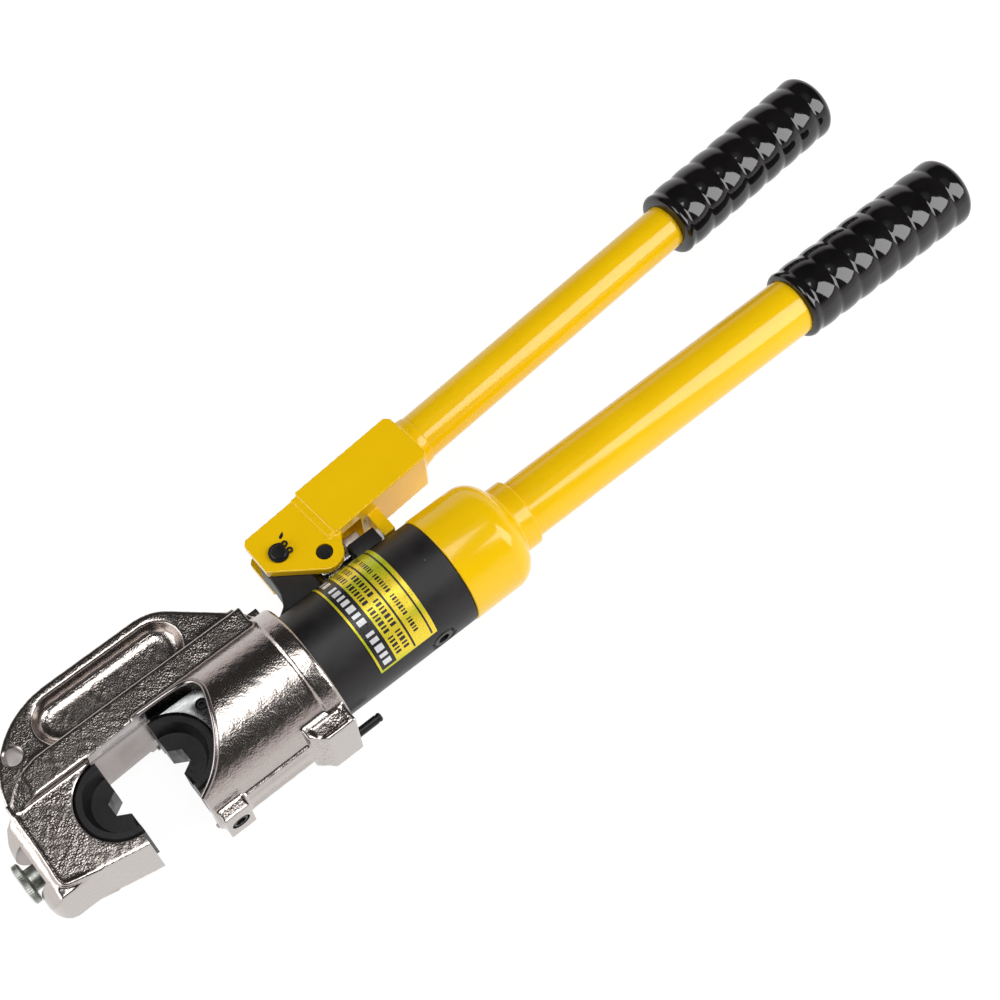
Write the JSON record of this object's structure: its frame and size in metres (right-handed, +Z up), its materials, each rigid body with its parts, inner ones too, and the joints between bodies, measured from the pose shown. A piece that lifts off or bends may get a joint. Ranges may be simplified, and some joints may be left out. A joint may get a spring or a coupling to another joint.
{
  "type": "hydraulic crimping press",
  "caption": "Hand-pumped hydraulic crimping press with a C-shaped head, half-round dies, a ram, a pump lever and a fixed handle.",
  "frame": {"origin": "centre of the bounding box's bottom, with the tool lying on its broad side", "axes": "+X along the cylinder axis from the head to the handles, +Y towards the pump lever, +Z up, across the jaw's flat sides"},
  "size_m": [0.5924, 0.1478, 0.072],
  "materials": {
    "nickel_casting": "nickel-plated pebbled casting",
    "nickel_plate": "nickel-plated turned steel",
    "black_oxide": "black-oxide steel, satin",
    "ground_steel": "ground steel",
    "zinc_plate": "zinc-plated, knurled",
    "black_paint": "satin black paint",
    "yellow_paint": "glossy yellow enamel",
    "grip_rubber": "glossy black moulded grip",
    "oil_rubber": "oil-resistant rubber, matte",
    "guide_resin": "resin guide ring",
    "label_film": "printed film with plain bands"
  },
  "bodies": {
    "body": {"head_yoke": "nickel_casting", "anvil_die": "black_oxide", "front_boss_screw": "black_oxide", "hydraulic_cylinder": "black_paint", "side_plug": "black_oxide", "inlet_check_ball": "ground_steel", "label_plate": "label_film", "reservoir_cap": "yellow_paint", "handle_tube": "yellow_paint", "oil_bladder": "oil_rubber", "handle_grip": "grip_rubber", "plunger_gland_nut": "nickel_plate", "valve_block": "black_paint", "ram_spring_post": "ground_steel"},
    "ram": {"ram": "ground_steel", "ram_die": "black_oxide", "ram_die_screw": "black_oxide", "piston_seal": "oil_rubber", "piston_guide_ring": "guide_resin", "ram_return_spring": "ground_steel"},
    "die_lock": {"die_lock_knob": "zinc_plate", "die_lock_pin": "ground_steel", "die_lock_spring": "ground_steel"},
    "rear_pin": {"rear_lock_pin": "black_oxide"},
    "lever": {"pump_lever_fork": "yellow_paint", "lever_tube": "yellow_paint", "lever_grip": "grip_rubber", "fulcrum_pin": "black_oxide", "plunger_pin": "black_oxide", "circlip_low": "black_oxide", "circlip_high": "black_oxide"},
    "plunger": {"pump_plunger": "ground_steel"},
    "release": {"release_button": "nickel_plate", "release_spring": "ground_steel"}
  },
  "joints": [
    {"name": "ram_slide", "type": "slide", "parent": "body", "child": "ram", "axis": [-1, 0, 0], "range_m": [0, 0.029], "deforming": ["ram_return_spring"]},
    {"name": "pump_lever_hinge", "type": "hinge", "parent": "body", "child": "lever", "pos_m": [-0.11075, 0.0192, 0.036], "axis": [0, 0, 1], "range_deg": [0, 60]},
    {"name": "plunger_slide", "type": "slide", "parent": "body", "child": "plunger", "axis": [0, 1, 0], "range_m": [0, 0.0218]},
    {"name": "release_press", "type": "slide", "parent": "body", "child": "release", "axis": [0, -1, 0], "range_m": [0, 0.0015], "stiffness_N_per_m": 1500, "springref_m": -0.001, "deforming": ["release_spring"]},
    {"name": "die_lock_pull", "type": "slide", "parent": "body", "child": "die_lock", "axis": [-1, 0, 0], "range_m": [0, 0.004], "stiffness_N_per_m": 800, "springref_m": -0.002, "deforming": ["die_lock_spring"]},
    {"name": "rear_pin_pull", "type": "slide", "parent": "body", "child": "rear_pin", "axis": [1, 0, 0], "range_m": [0, 0.004], "stiffness_N_per_m": 600, "springref_m": -0.002}
  ],
  "couplings": [
    {"joint": "plunger_slide", "follows": "pump_lever_hinge", "m_per_rad": 0.0208}
  ]
}
